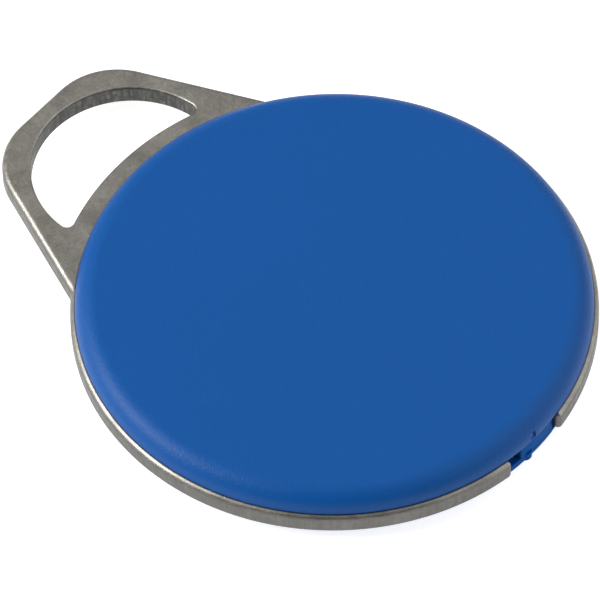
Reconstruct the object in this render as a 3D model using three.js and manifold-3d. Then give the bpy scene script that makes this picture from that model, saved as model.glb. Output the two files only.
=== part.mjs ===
// A contactless fare token worn on a key ring: an open steel ring with an eyelet,
// two plastic covers welded together through the ring, and a radio inlay between them.
// Millimetres. The origin is the centre of the flat underside, +Z is up, the eyelet
// lies toward +Y and the gap in the steel ring toward -Y.
import * as THREE from "three";
import { mergeVertices } from "three/addons/utils/BufferGeometryUtils.js";
import Module from "manifold-3d";

// Steel frame, punched from sheet.
const RING_RADIUS = 17.5;
const BORE_RADIUS = 15;
const SHEET = 1.5;
const SHEET_EDGE = 0.3;
const SHEET_EDGE_FACETS = 2;
const GAP_WIDTH = 4.7;
const GAP_CORNER = 0.32;

// Eyelet of the frame: a flat end between two corner arcs, and two leaning sides.
const EYELET_END = 25.9;
const EYELET_CORNER = 4.95;
const SIDE_LEAN = THREE.MathUtils.degToRad(23.2);
const SIDE_OFFSET = 15.07;
const NECK_FILLET = 1.1;
const HOLE_RADIUS = 6.65;
const HOLE_CENTRE = 17.9;
const HOLE_NEAR_RADIUS = 18.65;
const HOLE_CORNER = 0.5;

// Plastic covers.
const TOP_RADIUS = 17.18;
const TOP_RISE = 1.55;
const TOP_EDGE = 1.5;
const BASE_RADIUS = 17;
const BASE_RISE = 1.1;
const BASE_EDGE = 1;
const WALL = 0.85;
const SPIGOT_OUTER = 14.85;
const SPIGOT_INNER = 13.7;
const TONGUE_INNER = 14.1;
const TONGUE_OUTER = 14.45;
const TONGUE_DEPTH = 0.45;
const GROOVE_PLAY = 0.05;
const SEAT_PLAY = 0.03;

// Key of the base cover that fills the gap of the ring, in degrees from -Y toward +X.
const KEY_FROM = -7.85;
const KEY_TO = 7.85;
const KEY_RADIUS = 16.98;
const RECESS_TO = -3.7;
const RECESS_DEPTH = 1.3;

// Marks of moulding over the gap, at angles from -Y toward +X: a nick in the edge of the
// top cover and a round gate mark on the rim of the base cover.
const NICK_ANGLE = -0.3;
const NICK_WIDTH = 0.5;
const NICK_DEPTH = 0.22;
const NICK_HEIGHT = 0.6;
const GATE_ANGLE = -1.2;
const GATE_RADIUS = 0.48;
const GATE_PROUD = 0.13;
const GATE_BOTTOM = 0.65;
const GATE_HEIGHT = 0.65;

// Ribs inside the base cover that centre the inlay.
const RIB_COUNT = 4;
const RIB_RADIUS = 0.3;
const RIB_CENTRE = 13.7;

// Inlay stack, from the floor of the base cover upward, with a hair of air between layers.
const LAYER_AIR = 0.03;
const ADHESIVE = 0.1;
const FOIL = 0.1;
const CORE = 0.8;
const ADHESIVE_RADIUS = 11;
const INLAY_RADIUS = 13.3;
const FOAM_RADIUS = 10.6;

// Antenna coil in a ring-shaped channel of the core.
const WIRE_RADIUS = 0.1;
const WIRE_SIDES = 6;
const TURNS = 5;
const COIL_INNER = 10.45;
const COIL_PITCH = 0.36;
const COIL_START = THREE.MathUtils.degToRad(112);
const COIL_SHORT = THREE.MathUtils.degToRad(40);
const JOIN_SWEEP = 0.12;
const SPIRAL_START = 0.18;
const SPIRAL_SHORT = 0.072;
const STEPS_PER_TURN = 30;
const LEAD_STEPS = 14;
const CHANNEL_INNER = 10.1;
const CHANNEL_OUTER = 12.65;
const CHANNEL_DEPTH = 0.55;
const LEAD_CHANNEL = 0.9;
const CROSSING_RISE = 0.24;

// Chip module in a window of the core.
const MODULE_Y = 5.2;
const LEAD_FAR = 4.05;
const LEAD_WIDTH = 4.8;
const LEAD_SHEET = 0.08;
const LEAD_CORNER = 0.45;
const SLIT_LEFT = 0.75;
const SLIT_RIGHT = 1.05;
const WINDOW_MARGIN = 0.3;
const WINDOW_CORNER = 0.5;
const DIE_SIZE = 0.9;
const DIE_SHEET = 0.15;
const DIE_BOND = 0.03;
const MOULD_HALF_LENGTH = 2.4;
const MOULD_WIDTH = 4.4;
const MOULD_HEIGHT = 0.44;
const MOULD_CORNER = 0.35;
const POCKET_FROM = -1.4;
const POCKET_TO = 2;
const POCKET_WIDTH = 1.8;
const POCKET_HEIGHT = 0.36;
const BOND_WIRE = 0.03;
const BOND_DIE_X = 0.3;
const BOND_LEFT_X = -1.1;
const BOND_RIGHT_X = 1.6;
const BOND_SPREAD = 0.25;
const BOND_RISE = 0.1;
const BOND_STEPS = 10;
const PAD_X = 3.3;
const PAD_Y = 6.75;
const BEAD_RADIUS = 0.36;
const BEAD_HEIGHT = 0.34;
const BEAD_PLAY = 0.03;
const HAIR = 0.02;

// Facets of every arc stay this close to the true circle.
const CHORD_ERROR = 0.012;
const COVER_SEGMENTS = 72;
const INSIDE_SEGMENTS = 48;
const SMALL_SEGMENTS = 12;
const OVERLAP = 0.05;
const MERGE_REACH = 1e-4;
const DEGREES = 180 / Math.PI;

// Heights worked out from the sizes above.
const sheetBottom = BASE_RISE;
const sheetTop = sheetBottom + SHEET;
const coverTop = sheetTop + TOP_RISE;
const meeting = (sheetBottom + sheetTop) / 2;
const keyTop = sheetTop - SEAT_PLAY;
const adhesiveBottom = WALL + LAYER_AIR;
const lowerFoilBottom = adhesiveBottom + ADHESIVE + LAYER_AIR;
const coreBottom = lowerFoilBottom + FOIL + LAYER_AIR;
const coreTop = coreBottom + CORE;
const upperFoilBottom = coreTop + LAYER_AIR;
const foamBottom = upperFoilBottom + FOIL + LAYER_AIR;
const foamTop = coverTop - WALL - LAYER_AIR;
const channelFloor = coreTop - CHANNEL_DEPTH;
const wireHeight = channelFloor + LAYER_AIR + WIRE_RADIUS;
const leadTop = wireHeight - WIRE_RADIUS - HAIR;
const leadBottom = leadTop - LEAD_SHEET;
const dieBondBottom = leadTop + HAIR / 2;
const dieBottom = dieBondBottom + DIE_BOND + HAIR / 2;
const dieTop = dieBottom + DIE_SHEET;
const coilSweep = 2 * Math.PI * TURNS - COIL_SHORT;

const wasm = await Module();
wasm.setup();

// Materials, one per finish.
function finish(color, roughness, metalness) {
  return new THREE.MeshStandardMaterial({ color, roughness, metalness });
}

const steel = finish(0x8c8b84, 0.42, 1);
const bluePlastic = finish(0x1f579f, 0.5, 0);
const clearFoil = finish(0xdfe3e4, 0.25, 0);
const whitePlastic = finish(0xe9e8e2, 0.6, 0);
const tape = finish(0xd8cfb8, 0.7, 0);
const foamRubber = finish(0x3a3b3d, 0.95, 0);
const copper = finish(0xb8683a, 0.35, 1);
const goldPlate = finish(0xc9a24a, 0.3, 1);
const silicon = finish(0x4c4f58, 0.2, 0.4);
const silverGlue = finish(0xb4b4b0, 0.5, 0.6);
const blackResin = finish(0x17181a, 0.45, 0);
const solder = finish(0xb9bbbd, 0.3, 1);

// Outline helpers.

// Points of an arc about (x, y), angles in radians, from one end to the other.
function arc(x, y, radius, from, to) {
  const step = 2 * Math.acos(1 - CHORD_ERROR / radius);
  const count = Math.max(2, Math.ceil(Math.abs(to - from) / step));
  const points = [];
  for (let i = 0; i <= count; i++) {
    const angle = from + ((to - from) * i) / count;
    points.push(new THREE.Vector2(x + radius * Math.cos(angle), y + radius * Math.sin(angle)));
  }
  return points;
}

function mirrored(points) {
  return points.map((p) => new THREE.Vector2(-p.x, p.y)).reverse();
}

function roundedBox(x0, x1, y0, y1, radius) {
  const quarter = Math.PI / 2;
  return new THREE.Shape([
    ...arc(x1 - radius, y0 + radius, radius, -quarter, 0),
    ...arc(x1 - radius, y1 - radius, radius, 0, quarter),
    ...arc(x0 + radius, y1 - radius, radius, quarter, 2 * quarter),
    ...arc(x0 + radius, y0 + radius, radius, 2 * quarter, 3 * quarter),
  ]);
}

// Sector of a ring, angles in degrees from -Y toward +X.
function sector(inner, outer, from, to) {
  const start = (from - 90) / DEGREES;
  const end = (to - 90) / DEGREES;
  return new THREE.Shape([...arc(0, 0, outer, start, end), ...arc(0, 0, inner, end, start)]);
}

// Solid helpers.

function slab(shape, bottom, height) {
  const geometry = new THREE.ExtrudeGeometry(shape, { depth: height, bevelEnabled: false });
  return geometry.translate(0, 0, bottom);
}

// A turned solid from [radius, height] corners that run up the outside and back inside.
function turned(corners, segments) {
  const profile = corners.map(([r, z]) => new THREE.Vector2(r, z));
  const geometry = new THREE.LatheGeometry(profile, segments);
  return geometry.rotateX(Math.PI / 2);
}

function disc(radius, bottom, height, segments) {
  const top = bottom + height;
  return turned([[0, bottom], [radius, bottom], [radius, top], [0, top]], segments);
}

function wire(points, radius, steps) {
  const path = new THREE.CatmullRomCurve3(points, false, "centripetal");
  const section = new THREE.Shape();
  for (let i = 0; i < WIRE_SIDES; i++) {
    const angle = (2 * Math.PI * i) / WIRE_SIDES;
    const corner = [radius * Math.cos(angle), radius * Math.sin(angle)];
    if (i === 0) section.moveTo(...corner);
    else section.lineTo(...corner);
  }
  return new THREE.ExtrudeGeometry(section, { steps, extrudePath: path });
}

function solid(geometry) {
  const bare = geometry.clone();
  bare.deleteAttribute("normal");
  bare.deleteAttribute("uv");
  const merged = mergeVertices(bare, MERGE_REACH);
  return new wasm.Manifold(
    new wasm.Mesh({
      numProp: 3,
      vertProperties: merged.attributes.position.array,
      triVerts: new Uint32Array(merged.index.array),
    }),
  );
}

function geometryOf(body) {
  const mesh = body.getMesh();
  const geometry = new THREE.BufferGeometry();
  geometry.setAttribute("position", new THREE.BufferAttribute(mesh.vertProperties, 3));
  geometry.setIndex(new THREE.BufferAttribute(mesh.triVerts, 1));
  geometry.computeVertexNormals();
  return geometry;
}

function joined(geometries) {
  return geometries.map(solid).reduce((all, next) => all.add(next));
}

function cutFrom(body, geometries) {
  return geometries.map(solid).reduce((all, next) => all.subtract(next), body);
}

// Steel frame.

// Right half of the outer outline, from the corner of the gap up to the end of the eyelet.
function outerHalf() {
  const cornerReach = RING_RADIUS - GAP_CORNER;
  const cornerX = GAP_WIDTH / 2 + GAP_CORNER;
  const cornerY = -Math.sqrt(cornerReach ** 2 - cornerX ** 2);
  const cornerEnd = Math.atan2(cornerY, cornerX);
  const neckReach = RING_RADIUS + NECK_FILLET;
  const neckOffset = SIDE_OFFSET + NECK_FILLET;
  const along = Math.sqrt(neckReach ** 2 - neckOffset ** 2);
  const neckX = neckOffset * Math.cos(SIDE_LEAN) - along * Math.sin(SIDE_LEAN);
  const neckY = neckOffset * Math.sin(SIDE_LEAN) + along * Math.cos(SIDE_LEAN);
  const neckAngle = Math.atan2(neckY, neckX);
  const endY = EYELET_END - EYELET_CORNER;
  const endX = (SIDE_OFFSET - EYELET_CORNER - endY * Math.sin(SIDE_LEAN)) / Math.cos(SIDE_LEAN);
  return [
    ...arc(cornerX, cornerY, GAP_CORNER, -Math.PI, cornerEnd),
    ...arc(0, 0, RING_RADIUS, cornerEnd, neckAngle).slice(1),
    ...arc(neckX, neckY, NECK_FILLET, neckAngle + Math.PI, SIDE_LEAN + Math.PI).slice(1),
    ...arc(endX, endY, EYELET_CORNER, SIDE_LEAN, Math.PI / 2),
  ];
}

// Right half of the eyelet hole, from the middle of its near side to the middle of its end.
function holeHalf() {
  const near = HOLE_NEAR_RADIUS + HOLE_CORNER;
  const far = HOLE_RADIUS - HOLE_CORNER;
  const y = (near ** 2 - far ** 2 + HOLE_CENTRE ** 2) / (2 * HOLE_CENTRE);
  const x = Math.sqrt(near ** 2 - y ** 2);
  const nearAngle = Math.atan2(y, x);
  const farAngle = Math.atan2(y - HOLE_CENTRE, x);
  return [
    ...arc(0, 0, HOLE_NEAR_RADIUS, Math.PI / 2, nearAngle),
    ...arc(x, y, HOLE_CORNER, nearAngle - Math.PI, farAngle).slice(1),
    ...arc(0, HOLE_CENTRE, HOLE_RADIUS, farAngle, Math.PI / 2).slice(1),
  ];
}

function frame() {
  const half = outerHalf();
  const gapSide = GAP_WIDTH / 2;
  const boreStart = Math.atan2(-Math.sqrt(BORE_RADIUS ** 2 - gapSide ** 2), gapSide);
  const bore = arc(0, 0, BORE_RADIUS, -Math.PI - boreStart, boreStart - 2 * Math.PI);
  const outline = new THREE.Shape([...half, ...mirrored(half), ...bore]);
  const right = holeHalf();
  const left = mirrored(right);
  outline.holes.push(new THREE.Path([...right, ...left.slice(1, -1)]));
  const geometry = new THREE.ExtrudeGeometry(outline, {
    depth: SHEET - 2 * SHEET_EDGE,
    bevelThickness: SHEET_EDGE,
    bevelSize: SHEET_EDGE,
    bevelOffset: -SHEET_EDGE,
    bevelSegments: SHEET_EDGE_FACETS,
  });
  return geometry.translate(0, 0, sheetBottom + SHEET_EDGE);
}

// Covers.

// Quarter round of a cover's edge as [radius, height] corners, from the side to the face.
function quarterRound(radius, edge, height, direction) {
  return arc(0, 0, edge, 0, Math.PI / 2).map((p) => [
    radius - edge + p.x,
    height + direction * (p.y - edge),
  ]);
}

// The small nick in the lower edge of the top cover, over the gap of the ring.
function edgeNick() {
  const nick = new THREE.BoxGeometry(NICK_WIDTH, 2 * NICK_DEPTH, 2 * NICK_HEIGHT);
  nick.translate(0, -TOP_RADIUS, sheetTop + SEAT_PLAY);
  return nick.rotateZ(NICK_ANGLE / DEGREES);
}

function topCover() {
  const under = sheetTop + SEAT_PLAY;
  const end = meeting + SEAT_PLAY;
  const cover = turned(
    [
      [0, coverTop - WALL],
      [SPIGOT_INNER, coverTop - WALL],
      [SPIGOT_INNER, end],
      [TONGUE_INNER, end],
      [TONGUE_INNER, end - TONGUE_DEPTH],
      [TONGUE_OUTER, end - TONGUE_DEPTH],
      [TONGUE_OUTER, end],
      [SPIGOT_OUTER, end],
      [SPIGOT_OUTER, under],
      [TOP_RADIUS, under],
      ...quarterRound(TOP_RADIUS, TOP_EDGE, coverTop, 1),
      [0, coverTop],
    ],
    COVER_SEGMENTS,
  );
  return geometryOf(cutFrom(solid(cover), [edgeNick()]));
}

// The key that stands in the gap of the ring.
function keyBlock() {
  const bottom = sheetBottom - SEAT_PLAY - OVERLAP;
  const block = sector(SPIGOT_OUTER + GROOVE_PLAY, KEY_RADIUS, KEY_FROM, KEY_TO);
  return slab(block, bottom, keyTop - bottom);
}

// The shallow recess beside the left end of the ring.
function keyRecess() {
  const recess = sector(SPIGOT_OUTER + WALL, KEY_RADIUS + OVERLAP, KEY_FROM - 1, RECESS_TO);
  return slab(recess, keyTop - RECESS_DEPTH, RECESS_DEPTH + OVERLAP);
}

// The mark that the moulding gate left on the rim.
function gateMark() {
  const angle = GATE_ANGLE / DEGREES;
  const reach = BASE_RADIUS + GATE_PROUD - GATE_RADIUS;
  const gate = disc(GATE_RADIUS, GATE_BOTTOM, GATE_HEIGHT, SMALL_SEGMENTS);
  return gate.translate(reach * Math.sin(angle), -reach * Math.cos(angle), 0);
}

function ribs() {
  const top = meeting - SEAT_PLAY;
  const made = [];
  for (let i = 0; i < RIB_COUNT; i++) {
    const angle = (2 * Math.PI * (i + 0.5)) / RIB_COUNT;
    const rib = disc(RIB_RADIUS, WALL - OVERLAP, top - WALL, SMALL_SEGMENTS);
    made.push(rib.translate(RIB_CENTRE * Math.cos(angle), RIB_CENTRE * Math.sin(angle), 0));
  }
  return made;
}

function baseCover() {
  const over = sheetBottom - SEAT_PLAY;
  const end = meeting - SEAT_PLAY;
  const grooveFloor = meeting + SEAT_PLAY - TONGUE_DEPTH - GROOVE_PLAY;
  const shell = turned(
    [
      [0, 0],
      ...quarterRound(BASE_RADIUS, BASE_EDGE, 0, -1).reverse(),
      [BASE_RADIUS, over],
      [SPIGOT_OUTER, over],
      [SPIGOT_OUTER, end],
      [TONGUE_OUTER + GROOVE_PLAY, end],
      [TONGUE_OUTER + GROOVE_PLAY, grooveFloor],
      [TONGUE_INNER - GROOVE_PLAY, grooveFloor],
      [TONGUE_INNER - GROOVE_PLAY, end],
      [SPIGOT_INNER, end],
      [SPIGOT_INNER, WALL],
      [0, WALL],
    ],
    COVER_SEGMENTS,
  );
  const body = joined([shell, keyBlock(), gateMark(), ...ribs()]);
  return geometryOf(cutFrom(body, [keyRecess()]));
}

// Inlay.

function inlayCore() {
  const window = roundedBox(
    -LEAD_FAR - WINDOW_MARGIN,
    LEAD_FAR + WINDOW_MARGIN,
    MODULE_Y - LEAD_WIDTH / 2 - WINDOW_MARGIN,
    MODULE_Y + LEAD_WIDTH / 2 + WINDOW_MARGIN,
    WINDOW_CORNER,
  );
  const above = CHANNEL_DEPTH + OVERLAP;
  const channel = turned(
    [
      [CHANNEL_INNER, channelFloor],
      [CHANNEL_OUTER, channelFloor],
      [CHANNEL_OUTER, coreTop + OVERLAP],
      [CHANNEL_INNER, coreTop + OVERLAP],
      [CHANNEL_INNER, channelFloor],
    ],
    INSIDE_SEGMENTS,
  );
  const leadWays = [-PAD_X, PAD_X].map((x) =>
    slab(
      roundedBox(x - LEAD_CHANNEL / 2, x + LEAD_CHANNEL / 2, MODULE_Y, CHANNEL_INNER, WINDOW_CORNER / 2),
      channelFloor,
      above,
    ),
  );
  const sheet = solid(disc(INLAY_RADIUS, coreBottom, CORE, INSIDE_SEGMENTS));
  const through = slab(window, coreBottom - OVERLAP, CORE + 2 * OVERLAP);
  return geometryOf(cutFrom(sheet, [through, channel, ...leadWays]));
}

function onCircle(radius, angle, height) {
  return new THREE.Vector3(radius * Math.cos(angle), radius * Math.sin(angle), height);
}

// Radius of the coil after it has swept an angle.
function coilRadius(swept) {
  return COIL_INNER + (COIL_PITCH * swept) / (2 * Math.PI);
}

function onCoil(swept) {
  return onCircle(coilRadius(swept), COIL_START + swept, wireHeight);
}

// The last stretch of a lead, along its way in the core and onto its pad.
function leadEnd(side) {
  return [
    new THREE.Vector3(side * PAD_X, PAD_Y + LEAD_CHANNEL, wireHeight),
    new THREE.Vector3(side * PAD_X, PAD_Y, wireHeight),
  ];
}

// The inner lead, from its pad out to the innermost turn.
function innerLead() {
  return [
    ...leadEnd(-1).reverse(),
    new THREE.Vector3(-PAD_X, CHANNEL_INNER - LEAD_CHANNEL, wireHeight),
    ...[0, JOIN_SWEEP, 2 * JOIN_SWEEP].map((swept) => onCoil(swept)),
  ];
}

// The outer lead, from the end of the outermost turn up and over the others to its pad.
function outerLead() {
  const end = COIL_START + coilSweep;
  const outside = coilRadius(coilSweep);
  const high = wireHeight + CROSSING_RISE;
  return [
    onCoil(coilSweep - JOIN_SWEEP),
    onCoil(coilSweep - JOIN_SWEEP / 2),
    onCircle(outside, end, wireHeight + CROSSING_RISE / 2),
    onCircle(outside - COIL_PITCH, end, high),
    onCircle(COIL_INNER, end, high),
    new THREE.Vector3(PAD_X, CHANNEL_INNER - LEAD_CHANNEL, wireHeight + CROSSING_RISE / 2),
    ...leadEnd(1),
  ];
}

function antennaCoil() {
  const from = SPIRAL_START;
  const to = coilSweep - SPIRAL_SHORT;
  const steps = Math.round((STEPS_PER_TURN * (to - from)) / (2 * Math.PI));
  const spiral = [];
  for (let i = 0; i <= steps; i++) spiral.push(onCoil(from + ((to - from) * i) / steps));
  return geometryOf(
    joined([
      wire(spiral, WIRE_RADIUS, steps),
      wire(innerLead(), WIRE_RADIUS, LEAD_STEPS),
      wire(outerLead(), WIRE_RADIUS, 2 * LEAD_STEPS),
    ]),
  );
}

// Chip module.

function lead(x0, x1) {
  const half = LEAD_WIDTH / 2;
  return slab(roundedBox(x0, x1, MODULE_Y - half, MODULE_Y + half, LEAD_CORNER), leadBottom, LEAD_SHEET);
}

function square(size, bottom, height) {
  const half = size / 2;
  const shape = roundedBox(-half, half, MODULE_Y - half, MODULE_Y + half, HAIR);
  return slab(shape, bottom, height);
}

function chipMould() {
  const bottom = leadTop + HAIR;
  const block = roundedBox(
    -MOULD_HALF_LENGTH,
    MOULD_HALF_LENGTH,
    MODULE_Y - MOULD_WIDTH / 2,
    MODULE_Y + MOULD_WIDTH / 2,
    MOULD_CORNER,
  );
  const pocket = roundedBox(
    POCKET_FROM,
    POCKET_TO,
    MODULE_Y - POCKET_WIDTH / 2,
    MODULE_Y + POCKET_WIDTH / 2,
    HAIR,
  );
  const hollow = slab(pocket, bottom - OVERLAP, POCKET_HEIGHT + OVERLAP);
  return geometryOf(cutFrom(solid(slab(block, bottom, MOULD_HEIGHT)), [hollow]));
}

// A gold loop from the top of the die down to a lead.
function bondWire(dieX, leadX, y) {
  const from = new THREE.Vector3(dieX, y, dieTop + BOND_WIRE + HAIR);
  const to = new THREE.Vector3(leadX, y, leadTop + BOND_WIRE + HAIR);
  const crest = new THREE.Vector3((2 * dieX + leadX) / 3, y, dieTop + BOND_RISE);
  const shoulder = new THREE.Vector3((dieX + 3 * leadX) / 4, y, (from.z + to.z) / 2);
  return wire([from, crest, shoulder, to], BOND_WIRE, BOND_STEPS);
}

// A solder bead that holds the end of the coil on its pad.
function bead(side) {
  const bottom = leadTop + HAIR / 2;
  const dome = quarterRound(BEAD_RADIUS, BEAD_HEIGHT, bottom + BEAD_HEIGHT, 1);
  const shape = turned([[0, bottom], ...dome, [0, bottom + BEAD_HEIGHT]], SMALL_SEGMENTS);
  const centre = PAD_Y + BEAD_RADIUS / 2;
  shape.translate(side * PAD_X, centre, 0);
  const [approach, end] = leadEnd(side);
  return geometryOf(cutFrom(solid(shape), [wire([approach, end], WIRE_RADIUS + BEAD_PLAY, 2)]));
}

// The token.

const token = new THREE.Group();

function place(name, geometry, material) {
  const mesh = new THREE.Mesh(geometry, material.clone());
  mesh.name = name;
  token.add(mesh);
}

place("ring_frame", frame(), steel);
place("top_cover", topCover(), bluePlastic);
place("base_cover", baseCover(), bluePlastic);
place("adhesive_disc", disc(ADHESIVE_RADIUS, adhesiveBottom, ADHESIVE, INSIDE_SEGMENTS), tape);
place("inlay_lower_foil", disc(INLAY_RADIUS, lowerFoilBottom, FOIL, INSIDE_SEGMENTS), clearFoil);
place("inlay_core", inlayCore(), whitePlastic);
place("inlay_upper_foil", disc(INLAY_RADIUS, upperFoilBottom, FOIL, INSIDE_SEGMENTS), clearFoil);
place("foam_pad", disc(FOAM_RADIUS, foamBottom, foamTop - foamBottom, INSIDE_SEGMENTS), foamRubber);
place("antenna_coil", antennaCoil(), copper);
place("chip_lead_left", lead(-LEAD_FAR, SLIT_LEFT), goldPlate);
place("chip_lead_right", lead(SLIT_RIGHT, LEAD_FAR), goldPlate);
place("chip_die_bond", square(DIE_SIZE, dieBondBottom, DIE_BOND), silverGlue);
place("chip_die", square(DIE_SIZE, dieBottom, DIE_SHEET), silicon);
place("chip_mould", chipMould(), blackResin);
place("bond_wire_left", bondWire(-BOND_DIE_X, BOND_LEFT_X, MODULE_Y - BOND_SPREAD), goldPlate);
place("bond_wire_right", bondWire(BOND_DIE_X, BOND_RIGHT_X, MODULE_Y + BOND_SPREAD), goldPlate);
place("solder_bead_left", bead(-1), solder);
place("solder_bead_right", bead(1), solder);

export default token;
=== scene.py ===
# Looks for a round contactless token: an open steel ring with an eyelet, two blue covers
# and the radio inlay between them. Everything is in metres, in the frame of the CAD model.
import math

import bmesh
import bpy
from mathutils import Matrix, Vector
from mathutils.geometry import tessellate_polygon
from mathutils.kdtree import KDTree


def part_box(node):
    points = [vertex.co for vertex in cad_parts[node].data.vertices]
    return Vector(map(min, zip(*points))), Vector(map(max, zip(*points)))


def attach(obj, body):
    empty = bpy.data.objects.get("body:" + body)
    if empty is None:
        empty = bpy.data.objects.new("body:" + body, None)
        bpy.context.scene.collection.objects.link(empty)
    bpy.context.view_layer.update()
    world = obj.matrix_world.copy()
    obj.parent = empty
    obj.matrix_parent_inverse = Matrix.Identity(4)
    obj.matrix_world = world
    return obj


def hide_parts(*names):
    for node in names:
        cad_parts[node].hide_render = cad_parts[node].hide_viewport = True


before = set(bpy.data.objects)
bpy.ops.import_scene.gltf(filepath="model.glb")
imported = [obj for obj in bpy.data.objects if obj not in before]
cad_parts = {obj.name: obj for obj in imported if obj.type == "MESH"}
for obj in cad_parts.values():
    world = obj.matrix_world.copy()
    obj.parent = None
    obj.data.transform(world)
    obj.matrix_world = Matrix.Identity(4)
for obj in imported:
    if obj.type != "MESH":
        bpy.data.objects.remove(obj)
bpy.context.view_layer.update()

MM = 0.001
FULL = 2 * math.pi
QUARTER = math.pi / 2

# ---------------------------------------------------------------- sizes from the frame

ring_low, ring_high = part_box("ring_frame")
top_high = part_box("top_cover")[1]
base_low, base_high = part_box("base_cover")

RING_RADIUS = ring_high.x
EYELET_END = ring_high.y
SHEET_BOTTOM = ring_low.z
SHEET_TOP = ring_high.z
TOP_RADIUS = top_high.x
TOP_FACE = top_high.z
BASE_RADIUS = base_high.x
BASE_FACE = base_low.z
MEETING = (SHEET_BOTTOM + SHEET_TOP) / 2

# The rest of the design follows the CAD model, but the steel's edges, the gap's inner corners
# and the small corners of the covers are rounded more finely here.
BORE_RADIUS = 15 * MM
SHEET_LOWER_EDGE = 0.27 * MM
SHEET_UPPER_EDGE = 0.39 * MM
HALF_GAP = 2.35 * MM
GAP_CORNER = 0.32 * MM
GAP_INNER_CORNER = 0.35 * MM
EYELET_CORNER = 4.95 * MM
SIDE_LEAN = math.radians(23.2)
SIDE_OFFSET = 15.07 * MM
NECK_FILLET = 1.1 * MM
HOLE_RADIUS = 6.65 * MM
HOLE_CENTRE = 17.9 * MM
HOLE_NEAR_RADIUS = 18.65 * MM
HOLE_CORNER = 0.5 * MM
HOLE_EDGE = 0.16 * MM
TOP_EDGE = 1.5 * MM
BASE_EDGE = 1 * MM
WALL = 0.85 * MM
SPIGOT_OUTER = 14.85 * MM
SPIGOT_INNER = 13.7 * MM
TONGUE_INNER = 14.1 * MM
TONGUE_OUTER = 14.45 * MM
TONGUE_DEPTH = 0.45 * MM
GROOVE_PLAY = 0.05 * MM
SEAT_PLAY = 0.03 * MM
SOFT_CORNER = 0.06 * MM
KEY_TOP = SHEET_TOP - SEAT_PLAY

# Key of the base cover in the gap of the ring, in degrees from -Y toward +X.
KEY_FROM = -7.85
KEY_TO = 7.85
KEY_RADIUS = 16.98 * MM
KEY_CORNER = 0.12 * MM
RECESS_TO = -3.7
RECESS_DEPTH = 1.3 * MM
NICK_ANGLE = math.radians(-0.3)
NICK_WIDTH = 0.5 * MM
NICK_DEPTH = 0.22 * MM
NICK_HEIGHT = 0.6 * MM
GATE_ANGLE = math.radians(-1.2)
GATE_RADIUS = 0.48 * MM
GATE_PROUD = 0.13 * MM
GATE_BOTTOM = 0.65 * MM
GATE_HEIGHT = 0.65 * MM

# Fineness of the round stretches, and how near points and directions count as the same.
ARC_STEP = 0.22 * MM
ARC_TURN = math.radians(9)
EDGE_PARTS = 6
TURN_PARTS = 256
SAME_POINT = 1e-7
SAME_PLACE = 1e-6
SAME_TURN = math.cos(math.radians(35))

# ---------------------------------------------------------------- camera

VIEW_AZIMUTH = math.radians(-48.6)
VIEW_ELEVATION = math.radians(53.1)
VIEW_ROLL = math.radians(-1.2)
VIEW_DISTANCE = 37.1 * RING_RADIUS
LENS = 589
SENSOR = 36
AIM_RIGHT = -0.13 * RING_RADIUS
AIM_UP = 0.014 * RING_RADIUS


def make_camera():
    data = bpy.data.cameras.new("camera")
    data.lens = LENS
    data.sensor_width = SENSOR
    data.clip_start = 0.01
    data.clip_end = 10
    camera = bpy.data.objects.new("camera", data)
    bpy.context.scene.collection.objects.link(camera)
    bpy.context.scene.camera = camera
    level = math.cos(VIEW_ELEVATION)
    back = Vector(
        (
            math.sin(VIEW_AZIMUTH) * level,
            -math.cos(VIEW_AZIMUTH) * level,
            math.sin(VIEW_ELEVATION),
        )
    )
    turn = (-back).to_track_quat("-Z", "Y").to_matrix() @ Matrix.Rotation(VIEW_ROLL, 3, "Z")
    aim = Vector((0, 0, SHEET_TOP)) + AIM_RIGHT * turn.col[0] + AIM_UP * turn.col[1]
    camera.matrix_world = Matrix.Translation(aim + VIEW_DISTANCE * back) @ turn.to_4x4()


make_camera()

# ---------------------------------------------------------------- outlines
# A walk is a list of (x, y, nx, ny): points of an outline, each with its outward direction.


def arc(x, y, radius, start, end, facing=1):
    """Round stretch about (x, y); facing is 1 where the material is inside the arc, -1 outside."""
    parts = max(round(abs(end - start) / ARC_TURN), round(abs(end - start) * radius / ARC_STEP))
    walk = []
    for i in range(parts + 1):
        angle = start + (end - start) * i / parts
        c, s = math.cos(angle), math.sin(angle)
        walk.append((x + radius * c, y + radius * s, facing * c, facing * s))
    return walk


def mirrored(walk):
    return [(-x, y, -nx, ny) for x, y, nx, ny in reversed(walk)]


def closed(walk):
    """The walk without points that repeat their neighbour."""
    kept = []
    for point in walk:
        before = kept[-1] if kept else walk[-1]
        if math.hypot(point[0] - before[0], point[1] - before[1]) > SAME_POINT:
            kept.append(point)
    return kept


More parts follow.
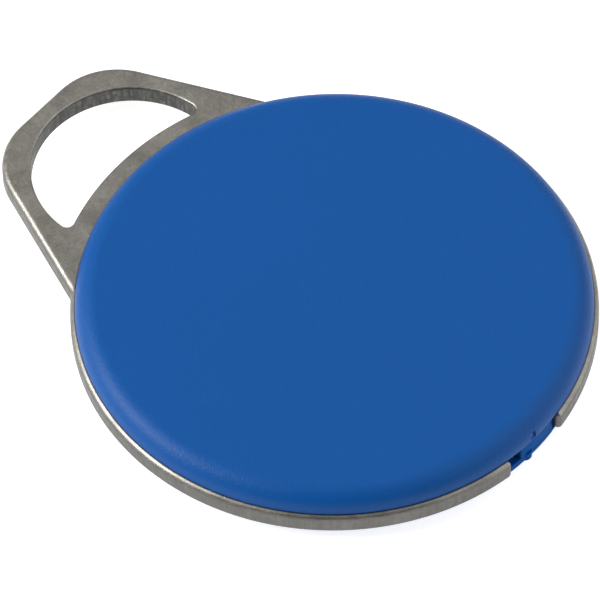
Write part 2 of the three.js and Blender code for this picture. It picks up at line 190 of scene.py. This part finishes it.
def ring_outline():
    """Outer outline of the steel ring: round the bore, out through the gap, up to the eyelet."""
    inner_x = HALF_GAP + GAP_INNER_CORNER
    inner_y = -math.sqrt((BORE_RADIUS + GAP_INNER_CORNER) ** 2 - inner_x**2)
    inner_end = math.atan2(inner_y, inner_x)
    outer_x = HALF_GAP + GAP_CORNER
    outer_y = -math.sqrt((RING_RADIUS - GAP_CORNER) ** 2 - outer_x**2)
    outer_end = math.atan2(outer_y, outer_x)
    neck_offset = SIDE_OFFSET + NECK_FILLET
    along = math.sqrt((RING_RADIUS + NECK_FILLET) ** 2 - neck_offset**2)
    lean_c, lean_s = math.cos(SIDE_LEAN), math.sin(SIDE_LEAN)
    neck_x = neck_offset * lean_c - along * lean_s
    neck_y = neck_offset * lean_s + along * lean_c
    neck_angle = math.atan2(neck_y, neck_x)
    end_y = EYELET_END - EYELET_CORNER
    end_x = (SIDE_OFFSET - EYELET_CORNER - end_y * lean_s) / lean_c
    right = [
        *arc(0, 0, BORE_RADIUS, QUARTER, inner_end, -1),
        *arc(inner_x, inner_y, GAP_INNER_CORNER, inner_end + math.pi, math.pi),
        *arc(outer_x, outer_y, GAP_CORNER, -math.pi, outer_end),
        *arc(0, 0, RING_RADIUS, outer_end, neck_angle),
        *arc(neck_x, neck_y, NECK_FILLET, neck_angle + math.pi, SIDE_LEAN + math.pi, -1),
        *arc(end_x, end_y, EYELET_CORNER, SIDE_LEAN, QUARTER),
    ]
    return closed(right + mirrored(right))


def hole_outline():
    near = HOLE_NEAR_RADIUS + HOLE_CORNER
    far = HOLE_RADIUS - HOLE_CORNER
    y = (near**2 - far**2 + HOLE_CENTRE**2) / (2 * HOLE_CENTRE)
    x = math.sqrt(near**2 - y**2)
    near_angle = math.atan2(y, x)
    far_angle = math.atan2(y - HOLE_CENTRE, x)
    right = [
        *arc(0, 0, HOLE_NEAR_RADIUS, QUARTER, near_angle),
        *arc(x, y, HOLE_CORNER, near_angle - math.pi, far_angle, -1),
        *arc(0, HOLE_CENTRE, HOLE_RADIUS, far_angle, QUARTER, -1),
    ]
    return closed(right + mirrored(right))[::-1]


def sector_outline(inner, outer, start, end, corner):
    """Sector of a ring with rounded corners, angles in degrees from -Y toward +X."""
    low = math.radians(start - 90)
    high = math.radians(end - 90)
    outer_turn = math.asin(corner / (outer - corner))
    inner_turn = math.asin(corner / (inner + corner))
    walk = arc(0, 0, outer, low + outer_turn, high - outer_turn)
    for side, reach, turn, first, last in (
        (high, outer - corner, -outer_turn, -outer_turn, QUARTER),
        (high, inner + corner, -inner_turn, QUARTER, math.pi - inner_turn),
        (low, inner + corner, inner_turn, math.pi + inner_turn, 3 * QUARTER),
        (low, outer - corner, outer_turn, 3 * QUARTER, FULL + outer_turn),
    ):
        middle = side + turn
        x, y = reach * math.cos(middle), reach * math.sin(middle)
        if side == low and reach < outer - corner:
            walk += arc(0, 0, inner, high - inner_turn, low + inner_turn, -1)
        walk += arc(x, y, corner, side + first, side + last)
    return closed(walk)


# ---------------------------------------------------------------- meshes


def make_object(name, mesh):
    piece = bpy.data.objects.new(name, mesh)
    bpy.context.scene.collection.objects.link(piece)
    return piece


def mesh_of(name, points, faces, normals):
    mesh = bpy.data.meshes.new(name)
    mesh.from_pydata(points, [], faces)
    mesh.validate()
    mesh.shade_smooth()
    mesh.normals_split_custom_set_from_vertices(normals)
    return mesh


def edge_layers(lower, upper, bottom, top):
    """Steps (inset, height, outward, upward) up the side of a plate with rounded edges."""
    quarter = [QUARTER * i / EDGE_PARTS for i in range(EDGE_PARTS + 1)]
    layers = []
    for t in quarter:
        c, s = math.cos(t), math.sin(t)
        layers.append((lower * (1 - s), bottom + lower * (1 - c), s, -c))
    for t in quarter:
        c, s = math.cos(t), math.sin(t)
        layers.append((upper * (1 - c), top - upper * (1 - s), c, s))
    return layers


def plate(name, rims, bottom, top):
    """A flat plate from rims, the outer one first, each a (walk, lower, upper) with its edge radii."""
    points, faces, normals = [], [], []
    lowest, highest = [], []
    for walk, lower, upper in rims:
        start, count = len(points), len(walk)
        layers = edge_layers(lower, upper, bottom, top)
        for inset, z, out, up in layers:
            for x, y, nx, ny in walk:
                points.append((x - inset * nx, y - inset * ny, z))
                normals.append((out * nx, out * ny, up))
        for layer in range(len(layers) - 1):
            for i in range(count):
                a = start + layer * count + i
                b = start + layer * count + (i + 1) % count
                faces.append((a, b, b + count, a + count))
        lowest.append(range(start, start + count))
        highest.append(range(len(points) - count, len(points)))
    for loops, flip in ((lowest, True), (highest, False)):
        flat = [index for loop in loops for index in loop]
        for tri in tessellate_polygon([[Vector(points[i]) for i in loop] for loop in loops]):
            a, b, c = (Vector(points[flat[i]]) for i in tri)
            upward = (b - a).cross(c - a).z > 0
            corners = [flat[i] for i in tri]
            faces.append(tuple(corners if upward != flip else reversed(corners)))
    return mesh_of(name, points, faces, normals)


def softened(corners):
    """Profile points (r, z, nr, nz) from (r, z, radius) corners, the material on the left."""
    profile = []
    last = len(corners) - 1
    for i, (r, z, radius) in enumerate(corners):
        here = Vector((r, z))
        if i in (0, last):
            way = Vector(corners[1][:2]) - here if i == 0 else here - Vector(corners[i - 1][:2])
            way.normalize()
            profile.append((r, z, way.y, -way.x))
            continue
        back = (Vector(corners[i - 1][:2]) - here).normalized()
        ahead = (Vector(corners[i + 1][:2]) - here).normalized()
        half = back.angle(ahead) / 2
        reach = radius / math.tan(half)
        bisector = (back + ahead).normalized()
        centre = here + bisector * (radius / math.sin(half))
        turning_left = back.x * ahead.y - back.y * ahead.x < 0
        sign = 1 if turning_left else -1
        start = here + back * reach - centre
        sweep = (math.pi - 2 * half) * sign
        parts = max(EDGE_PARTS, round(abs(sweep) * radius / ARC_STEP * 2))
        for k in range(parts + 1):
            arm = start.copy()
            arm.rotate(Matrix.Rotation(sweep * k / parts, 2))
            place = (centre.x + arm.x, centre.y + arm.y)
            profile.append((*place, sign * arm.x / radius, sign * arm.y / radius))
    return profile


def turned(name, corners):
    """A solid of revolution whose profile runs from the axis, up the outside, to the axis."""
    profile = softened(corners)
    points, faces, normals = [], [], []
    for k in range(TURN_PARTS):
        angle = FULL * k / TURN_PARTS
        c, s = math.cos(angle), math.sin(angle)
        for r, z, nr, nz in profile[1:-1]:
            points.append((r * c, r * s, z))
            normals.append((nr * c, nr * s, nz))
    count = len(profile) - 2
    first, last = len(points), len(points) + 1
    points += [(0, 0, profile[0][1]), (0, 0, profile[-1][1])]
    normals += [(0, 0, profile[0][3]), (0, 0, profile[-1][3])]
    for k in range(TURN_PARTS):
        here, there = k * count, (k + 1) % TURN_PARTS * count
        faces.append((first, there, here))
        for i in range(count - 1):
            faces.append((here + i, there + i, there + i + 1, here + i + 1))
        faces.append((here + count - 1, there + count - 1, last))
    return mesh_of(name, points, faces, normals)


# ---------------------------------------------------------------- pieces


def make_ring():
    rims = [
        (ring_outline(), SHEET_LOWER_EDGE, SHEET_UPPER_EDGE),
        (hole_outline(), HOLE_EDGE, HOLE_EDGE),
    ]
    mesh = plate("ring", rims, SHEET_BOTTOM, SHEET_TOP)
    return make_object("steel_ring", mesh)


def edge_nick():
    """Tool for the small nick in the lower edge of the top cover, over the gap of the ring."""
    box = bmesh.new()
    bmesh.ops.create_cube(box, size=2)
    bmesh.ops.scale(box, vec=(NICK_WIDTH / 2, NICK_DEPTH, NICK_HEIGHT), verts=box.verts)
    bmesh.ops.translate(box, vec=(0, -TOP_RADIUS, SHEET_TOP + SEAT_PLAY), verts=box.verts)
    bmesh.ops.rotate(box, matrix=Matrix.Rotation(NICK_ANGLE, 3, "Z"), verts=box.verts)
    mesh = bpy.data.meshes.new("nick")
    box.to_mesh(mesh)
    box.free()
    return mesh


def designed_normals(meshes):
    """Places and normals of the vertices of meshes whose shading was worked out."""
    known = {}
    for mesh in meshes:
        for loop, normal in zip(mesh.loops, mesh.corner_normals):
            known[mesh.vertices[loop.vertex_index].co.copy().freeze()] = normal.vector.copy()
    return known


def reshade(mesh, known):
    """Shade the corners that kept their place as designed, the others by their faces."""
    tree = KDTree(len(known))
    for index, place in enumerate(known):
        tree.insert(place, index)
    tree.balance()
    designed = list(known.values())
    normals = []
    for face in mesh.polygons:
        for vertex in face.vertices:
            place, index, distance = tree.find(mesh.vertices[vertex].co)
            kept = distance < SAME_PLACE and designed[index].dot(face.normal) > SAME_TURN
            normals.append(designed[index] if kept else face.normal.copy())
    mesh.shade_smooth()
    mesh.normals_split_custom_set(normals)


def make_top_cover():
    under = SHEET_TOP + SEAT_PLAY
    end = MEETING + SEAT_PLAY
    ceiling = TOP_FACE - WALL
    soft = SOFT_CORNER
    corners = [
        (0, ceiling, 0),
        (SPIGOT_INNER, ceiling, soft),
        (SPIGOT_INNER, end, soft),
        (TONGUE_INNER, end, soft),
        (TONGUE_INNER, end - TONGUE_DEPTH, soft),
        (TONGUE_OUTER, end - TONGUE_DEPTH, soft),
        (TONGUE_OUTER, end, soft),
        (SPIGOT_OUTER, end, soft),
        (SPIGOT_OUTER, under, soft),
        (TOP_RADIUS, under, soft / 2),
        (TOP_RADIUS, TOP_FACE, TOP_EDGE - soft / 2),
        (0, TOP_FACE, 0),
    ]
    body = make_object("blue_top", turned("top", corners))
    return fused(body, [], [edge_nick()])


def key_block(name, inner, outer, start, end, top):
    bottom = SHEET_BOTTOM - WALL / 2
    walk = sector_outline(inner, outer, start, end, KEY_CORNER)
    return plate(name, [(walk, SOFT_CORNER, SOFT_CORNER)], bottom, top)


def key_blocks():
    """The key: a full block, and beside it a low floor with a wall behind it."""
    inner = SPIGOT_OUTER + GROOVE_PLAY
    back = SPIGOT_OUTER + WALL
    inside = RECESS_TO + 1
    return [
        key_block("key", inner, KEY_RADIUS, RECESS_TO, KEY_TO, KEY_TOP),
        key_block("recess_floor", inner, KEY_RADIUS, KEY_FROM, inside, KEY_TOP - RECESS_DEPTH),
        key_block("recess_back", inner, back, KEY_FROM, inside, KEY_TOP),
    ]


def gate_mark():
    """The mark that the moulding gate left on the rim."""
    reach = BASE_RADIUS + GATE_PROUD - GATE_RADIUS
    x, y = reach * math.sin(GATE_ANGLE), -reach * math.cos(GATE_ANGLE)
    walk = closed(arc(x, y, GATE_RADIUS, 0, FULL))
    return plate("gate", [(walk, SOFT_CORNER, SOFT_CORNER)], GATE_BOTTOM, GATE_BOTTOM + GATE_HEIGHT)


def fused(body, added, removed):
    """The body with meshes joined to it and then others cut from it, as one closed mesh."""
    known = designed_normals([body.data, *added])
    helpers = [make_object(mesh.name, mesh) for mesh in added + removed]
    for helper in helpers:
        step = body.modifiers.new(helper.name, "BOOLEAN")
        step.operation = "UNION" if helper.data in added else "DIFFERENCE"
        step.solver = "EXACT"
        step.object = helper
    shape = body.evaluated_get(bpy.context.evaluated_depsgraph_get())
    mesh = bpy.data.meshes.new_from_object(shape)
    body.modifiers.clear()
    body.data = mesh
    for helper in helpers:
        bpy.data.objects.remove(helper)
    reshade(mesh, known)
    return body


def make_base_cover():
    over = SHEET_BOTTOM - SEAT_PLAY
    end = MEETING - SEAT_PLAY
    groove_floor = MEETING + SEAT_PLAY - TONGUE_DEPTH - GROOVE_PLAY
    soft = SOFT_CORNER
    corners = [
        (0, BASE_FACE, 0),
        (BASE_RADIUS, BASE_FACE, BASE_EDGE),
        (BASE_RADIUS, over, soft / 2),
        (SPIGOT_OUTER, over, soft),
        (SPIGOT_OUTER, end, soft),
        (TONGUE_OUTER + GROOVE_PLAY, end, soft),
        (TONGUE_OUTER + GROOVE_PLAY, groove_floor, soft),
        (TONGUE_INNER - GROOVE_PLAY, groove_floor, soft),
        (TONGUE_INNER - GROOVE_PLAY, end, soft),
        (SPIGOT_INNER, end, soft),
        (SPIGOT_INNER, BASE_FACE + WALL, soft),
        (0, BASE_FACE + WALL, 0),
    ]
    body = make_object("blue_base", turned("base", corners))
    return fused(body, [*key_blocks(), gate_mark()], [])


# ---------------------------------------------------------------- materials


class Nodes:
    """A material's node tree, with short calls to add and wire nodes."""

    def __init__(self, name):
        self.material = bpy.data.materials.new(name)
        self.material.use_nodes = True
        self.tree = self.material.node_tree
        self.tree.nodes.clear()
        self.shader = self.tree.nodes.new("ShaderNodeBsdfPrincipled")
        output = self.tree.nodes.new("ShaderNodeOutputMaterial")
        self.tree.links.new(self.shader.outputs["BSDF"], output.inputs["Surface"])
        coordinates = self.tree.nodes.new("ShaderNodeTexCoord")
        self.facing = coordinates.outputs["Normal"]
        self.millimetres = self.scaled(coordinates.outputs["Object"], (1 / MM,) * 3, (0, 0, 0))

    def node(self, kind, values=(), **settings):
        made = self.tree.nodes.new(kind)
        for key, value in settings.items():
            setattr(made, key, value)
        for key, value in dict(values).items():
            socket = made.inputs[key]
            if isinstance(value, bpy.types.NodeSocket):
                self.tree.links.new(value, socket)
            else:
                socket.default_value = value
        return made

    def scaled(self, vector, scale, rotation):
        mapping = self.node("ShaderNodeMapping", {"Vector": vector, "Scale": scale, "Rotation": rotation})
        return mapping.outputs["Vector"]

    def noise(self, scale, detail=2.0, vector=None, roughness=0.5):
        """Clouds from 0 to 1, the scale in waves to the millimetre."""
        values = {
            "Vector": vector or self.millimetres,
            "Scale": scale,
            "Detail": detail,
            "Roughness": roughness,
        }
        return self.node("ShaderNodeTexNoise", values).outputs["Fac"]

    def ranged(self, value, low, high, to_low, to_high):
        values = {"Value": value, "From Min": low, "From Max": high, "To Min": to_low, "To Max": to_high}
        return self.node("ShaderNodeMapRange", values).outputs["Result"]

    def maths(self, operation, a, b):
        return self.node("ShaderNodeMath", {0: a, 1: b}, operation=operation).outputs[0]

    def distance(self, centre):
        """Level distance in millimetres from an upright axis through centre."""
        values = {0: self.millimetres, 1: (1, 1, 0)}
        level = self.node("ShaderNodeVectorMath", values, operation="MULTIPLY")
        values = {0: level.outputs[0], 1: centre}
        return self.node("ShaderNodeVectorMath", values, operation="DISTANCE").outputs["Value"]

    def mixed(self, amount, a, b):
        mix = self.node("ShaderNodeMix", {"Factor": amount}, data_type="RGBA")
        for socket, value in ((mix.inputs[6], a), (mix.inputs[7], b)):
            if isinstance(value, bpy.types.NodeSocket):
                self.tree.links.new(value, socket)
            else:
                socket.default_value = (*value, 1)
        return mix.outputs[2]

    def bump(self, height, depth, normal=None):
        """Relief of height times depth, the depth in millimetres."""
        values = {"Height": height, "Distance": depth * MM, "Strength": 1.0}
        if normal:
            values["Normal"] = normal
        return self.node("ShaderNodeBump", values).outputs["Normal"]

    def surface(self, **values):
        for key, value in values.items():
            socket = self.shader.inputs[key.replace("_", " ")]
            if isinstance(value, bpy.types.NodeSocket):
                self.tree.links.new(value, socket)
            elif isinstance(value, tuple):
                socket.default_value = (*value, 1)
            else:
                socket.default_value = value
        return self.material


# Colours, as linear red, green and blue.
STEEL_DARK = (0.238, 0.2265, 0.202)
STEEL_LIGHT = (0.35, 0.334, 0.3)
STEEL_GRAIN = (0.2, 0.19, 0.168)
STEEL_SPECK = (0.13, 0.123, 0.108)
SCRATCH = (0.5, 0.49, 0.46)
# Upright steel walls: partly their sheared finish, partly painted shade that darkens them.
SHEARED_WALL_AND_SHADE_DARK = (0.092, 0.091, 0.087)
SHEARED_WALL_AND_SHADE_LIGHT = (0.122, 0.12, 0.115)
# The eyelet's torn inner wall, darker still: partly its torn finish, partly painted shade.
TORN_WALL_AND_SHADE_DARK = (0.04, 0.04, 0.038)
TORN_WALL_AND_SHADE_LIGHT = (0.16, 0.158, 0.15)
# Painted shade: the dark band on the steel in the seam round the top cover.
SEAM_PAINTED_SHADE = (0.01, 0.02, 0.04)
PLASTIC_DARK = (0.0004, 0.0635, 0.256)
PLASTIC_LIGHT = (0.0008, 0.0655, 0.264)
PLASTIC_GRAIN = (0.0016, 0.079, 0.302)
FLOOR_DARK = (0.5, 0.5, 0.5)
FLOOR_LIGHT = (0.52, 0.52, 0.52)
WHITE = (1, 1, 1)

# Scratches of the steel: direction in degrees, length and width in millimetres, threshold.
SCRATCHES = (
    (24, 2.2, 0.09, 0.64),
    (-38, 1.6, 0.07, 0.66),
    (71, 2.8, 0.10, 0.66),
    (-83, 1.2, 0.06, 0.67),
)
SCRATCH_SHOWN = 0.2
WALL_AND_SHADE_SHOWN = 0.8
SEAM_SHADE_SHOWN = 0.8

# Waves to the millimetre of the streaks, across and up. Then fades in millimetres: of the torn wall,
# partly painted shade, beyond the eyelet's opening, and of the painted shade in the seam inside and
# outside the cover's rim.
STREAK_SHAPE = (5, 5, 0.4)
TORN_FADE = (0.3, 0.5)
SEAM_SHADE_INSIDE = (0.4, 0.1)
SEAM_SHADE_OUTSIDE = (0.03, 0.12)

# Specular level of the two covers, and the light that the floor gives off.
TOP_GLOSS = 0.18
BASE_GLOSS = 0.02
FLOOR_GLOW = 0.82


def scratches(nodes, angle, length, width, threshold):
    """Fine straight marks: noise stretched along a direction and cut to its peaks."""
    vector = nodes.scaled(nodes.millimetres, (1, 1, 1), (0, 0, angle))
    vector = nodes.scaled(vector, (1 / length, 1 / width, 1 / width), (0, 0, 0))
    marks = nodes.noise(1.0, 1.0, vector)
    return nodes.ranged(marks, threshold, threshold + 0.1, 0.0, 1.0)


def steel_material():
    nodes = Nodes("tumbled_steel")
    mottle = nodes.noise(0.45, 4.0, roughness=0.65)
    cloud = nodes.noise(2.2, 3.0)
    grain = nodes.noise(9.0, 2.0)
    speck = nodes.noise(4.5, 3.0, roughness=0.6)
    streak = nodes.noise(1.0, 2.0, nodes.scaled(nodes.millimetres, STREAK_SHAPE, (0, 0, 0)))
    marks = [scratches(nodes, math.radians(angle), *shape) for angle, *shape in SCRATCHES]
    marked = marks[0]
    for mark in marks[1:]:
        marked = nodes.maths("MAXIMUM", marked, mark)
    tone = nodes.mixed(nodes.ranged(mottle, 0.35, 0.65, 0, 1), STEEL_DARK, STEEL_LIGHT)
    tone = nodes.mixed(nodes.ranged(grain, 0.35, 0.7, 0, 0.35), tone, STEEL_GRAIN)
    tone = nodes.mixed(nodes.ranged(speck, 0.5, 0.7, 0, 0.3), tone, STEEL_SPECK)
    tone = nodes.mixed(nodes.maths("MULTIPLY", marked, SCRATCH_SHOWN), tone, SCRATCH)
    # The sheared walls of the sheet, torn where the eyelet was punched out. Their darker tone is partly
    # the sheared finish and partly painted shade.
    upright = nodes.node("ShaderNodeSeparateXYZ", {0: nodes.facing}).outputs["Z"]
    sheared_and_shaded = nodes.ranged(nodes.maths("ABSOLUTE", upright, 0.0), 0.3, 0.7, 1, 0)
    wall = nodes.mixed(nodes.ranged(streak, 0.35, 0.65, 0, 1), SHEARED_WALL_AND_SHADE_DARK, SHEARED_WALL_AND_SHADE_LIGHT)
    tone = nodes.mixed(nodes.maths("MULTIPLY", sheared_and_shaded, WALL_AND_SHADE_SHOWN), tone, wall)
    # The wall round the eyelet's opening gets a darker tone: partly its torn finish, partly painted
    # shade.
    from_hole = nodes.distance((0, HOLE_CENTRE / MM, 0))
    hole = HOLE_RADIUS / MM
    near_hole = nodes.ranged(from_hole, hole + TORN_FADE[0], hole + TORN_FADE[1], 1, 0)
    punched = nodes.maths("MULTIPLY", sheared_and_shaded, near_hole)
    torn_streak = nodes.ranged(streak, 0.35, 0.7, 0, 1)
    uneven = nodes.maths("MULTIPLY", torn_streak, nodes.ranged(cloud, 0.35, 0.6, 0, 1))
    torn_and_shaded = nodes.mixed(uneven, TORN_WALL_AND_SHADE_DARK, TORN_WALL_AND_SHADE_LIGHT)
    tone = nodes.mixed(nodes.maths("MULTIPLY", punched, WALL_AND_SHADE_SHOWN), tone, torn_and_shaded)
    # Painted shade in the seam round the top cover: a dark band on the steel next to the cover's rim.
    from_axis = nodes.distance((0, 0, 0))
    rim = TOP_RADIUS / MM
    within = nodes.ranged(from_axis, rim + SEAM_SHADE_OUTSIDE[0], rim + SEAM_SHADE_OUTSIDE[1], 1, 0)
    beyond = nodes.ranged(from_axis, rim - SEAM_SHADE_INSIDE[0], rim - SEAM_SHADE_INSIDE[1], 0, 1)
    seam = nodes.maths("MULTIPLY", within, beyond)
    seam_shade = nodes.maths("MULTIPLY", seam, nodes.ranged(upright, 0.9, 0.97, 0, 1))
    tone = nodes.mixed(nodes.maths("MULTIPLY", seam_shade, SEAM_SHADE_SHOWN), tone, SEAM_PAINTED_SHADE)
    rough = nodes.ranged(cloud, 0.3, 0.7, 0.36, 0.5)
    relief = nodes.bump(grain, 0.003)
    relief = nodes.bump(marked, -0.004, relief)
    return nodes.surface(Base_Color=tone, Metallic=1.0, Roughness=rough, Normal=relief)


def plastic_material(name, gloss):
    nodes = Nodes(name)
    tint = nodes.noise(0.12, 2.0)
    grain = nodes.noise(5.5, 2.0, roughness=0.6)
    fine = nodes.noise(11.0, 1.0)
    tone = nodes.mixed(nodes.ranged(tint, 0.35, 0.65, 0, 1), PLASTIC_DARK, PLASTIC_LIGHT)
    tone = nodes.mixed(nodes.ranged(grain, 0.35, 0.7, 0, 0.3), tone, PLASTIC_GRAIN)
    rough = nodes.ranged(fine, 0.3, 0.7, 0.4, 0.48)
    relief = nodes.bump(grain, 0.027)
    relief = nodes.bump(fine, 0.008, relief)
    return nodes.surface(Base_Color=tone, Roughness=rough, Normal=relief, Specular_IOR_Level=gloss)


def flecked(name, low, high, scale, roughness, metallic, depth):
    """A plain inner material: two tones mixed by fine noise, with a little relief."""
    nodes = Nodes(name)
    fleck = nodes.noise(scale, 3.0)
    soft = nodes.noise(scale / 8, 2.0)
    tone = nodes.mixed(nodes.ranged(fleck, 0.35, 0.65, 0, 1), low, high)
    rough = nodes.ranged(soft, 0.3, 0.7, roughness * 0.85, roughness * 1.15)
    relief = nodes.bump(fleck, depth)
    return nodes.surface(Base_Color=tone, Metallic=metallic, Roughness=rough, Normal=relief)


# Inner materials: two tones, waves to the millimetre, roughness, metallic, relief in millimetres.
INNER = {
    "tape": ((0.62, 0.56, 0.42), (0.7, 0.64, 0.5), 5, 0.7, 0, 0.01),
    "foil": ((0.7, 0.73, 0.74), (0.76, 0.79, 0.8), 1.5, 0.22, 0, 0.002),
    "card": ((0.78, 0.77, 0.73), (0.83, 0.82, 0.79), 6, 0.55, 0, 0.004),
    "foam": ((0.02, 0.02, 0.022), (0.055, 0.055, 0.06), 4, 0.95, 0, 0.06),
    "copper": ((0.5, 0.17, 0.06), (0.62, 0.24, 0.1), 12, 0.3, 1, 0.002),
    "gold": ((0.66, 0.44, 0.13), (0.74, 0.52, 0.18), 14, 0.3, 1, 0.002),
    "silver_glue": ((0.35, 0.35, 0.34), (0.55, 0.55, 0.53), 30, 0.5, 0.6, 0.003),
    "silicon": ((0.06, 0.065, 0.08), (0.1, 0.105, 0.125), 9, 0.18, 0.5, 0.0005),
    "resin": ((0.006, 0.006, 0.007), (0.014, 0.014, 0.015), 14, 0.5, 0, 0.005),
    "solder": ((0.5, 0.5, 0.51), (0.62, 0.62, 0.63), 10, 0.28, 1, 0.004),
}

INNER_NODES = {
    "adhesive_disc": "tape",
    "inlay_lower_foil": "foil",
    "inlay_upper_foil": "foil",
    "inlay_core": "card",
    "foam_pad": "foam",
    "antenna_coil": "copper",
    "chip_lead_left": "gold",
    "chip_lead_right": "gold",
    "bond_wire_left": "gold",
    "bond_wire_right": "gold",
    "chip_die_bond": "silver_glue",
    "chip_die": "silicon",
    "chip_mould": "resin",
    "solder_bead_left": "solder",
    "solder_bead_right": "solder",
}


def floor_material():
    nodes = Nodes("pale_floor")
    speck = nodes.noise(0.15, 3.0)
    tone = nodes.mixed(speck, FLOOR_DARK, FLOOR_LIGHT)
    return nodes.surface(
        Base_Color=tone,
        Roughness=0.9,
        Emission_Color=WHITE,
        Emission_Strength=FLOOR_GLOW,
    )


def wear(piece, material):
    piece.data.materials.clear()
    piece.data.materials.append(material)


# ---------------------------------------------------------------- building the token

ring = make_ring()
top = make_top_cover()
base = make_base_cover()
steel = steel_material()
glossier = plastic_material("blue_plastic_top", TOP_GLOSS)
duller = plastic_material("blue_plastic_base", BASE_GLOSS)
for piece, node, slot, material in (
    (ring, "ring_frame", "steel", steel),
    (top, "top_cover", "blue_plastic", glossier),
    (base, "base_cover", "blue_plastic", duller),
):
    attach(piece, "root")
    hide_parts(node)
    wear(piece, material)

inner_materials = {name: flecked(name, *looks) for name, looks in INNER.items()}
for node, look in INNER_NODES.items():
    wear(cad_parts[node], inner_materials[look])

# ---------------------------------------------------------------- floor and light

FLOOR_REACH = 1.5
FLOOR_CLEARANCE = 0.02 * MM
SKY_STRENGTH = 0.1

# Lamps: azimuth and elevation in degrees, distance and size in metres, power in watts.
LAMPS = (
    ("left_lamp", -138.5, 38, 0.5, 0.3, 3.3),
    ("right_lamp", 41.5, 36, 0.5, 0.7, 1.9),
    ("back_lamp", 131.5, 53, 0.6, 0.9, 1.45),
)


def make_floor():
    mesh = bpy.data.meshes.new("floor")
    reach = FLOOR_REACH
    corners = [(x * reach, y * reach, 0) for x, y in ((-1, -1), (1, -1), (1, 1), (-1, 1))]
    mesh.from_pydata(corners, [], [(0, 1, 2, 3)])
    floor = make_object("floor", mesh)
    floor.location.z = BASE_FACE - FLOOR_CLEARANCE
    wear(floor, floor_material())


def make_lamp(name, azimuth, elevation, distance, size, power):
    """A square soft lamp that looks at the token from a direction given as for the camera."""
    data = bpy.data.lights.new(name, "AREA")
    data.size = size
    data.energy = power
    lamp = bpy.data.objects.new(name, data)
    bpy.context.scene.collection.objects.link(lamp)
    a, e = math.radians(azimuth), math.radians(elevation)
    back = Vector((math.sin(a) * math.cos(e), -math.cos(a) * math.cos(e), math.sin(e)))
    lamp.visible_camera = False
    lamp.location = distance * back
    lamp.rotation_mode = "QUATERNION"
    lamp.rotation_quaternion = (-back).to_track_quat("-Z", "Y")


def make_world():
    world = bpy.data.worlds.new("studio")
    bpy.context.scene.world = world
    world.use_nodes = True
    sky = world.node_tree.nodes["Background"]
    sky.inputs["Color"].default_value = (*WHITE, 1)
    sky.inputs["Strength"].default_value = SKY_STRENGTH


make_floor()
make_world()
for lamp in LAMPS:
    make_lamp(*lamp)
bpy.context.scene.view_settings.view_transform = "Standard"
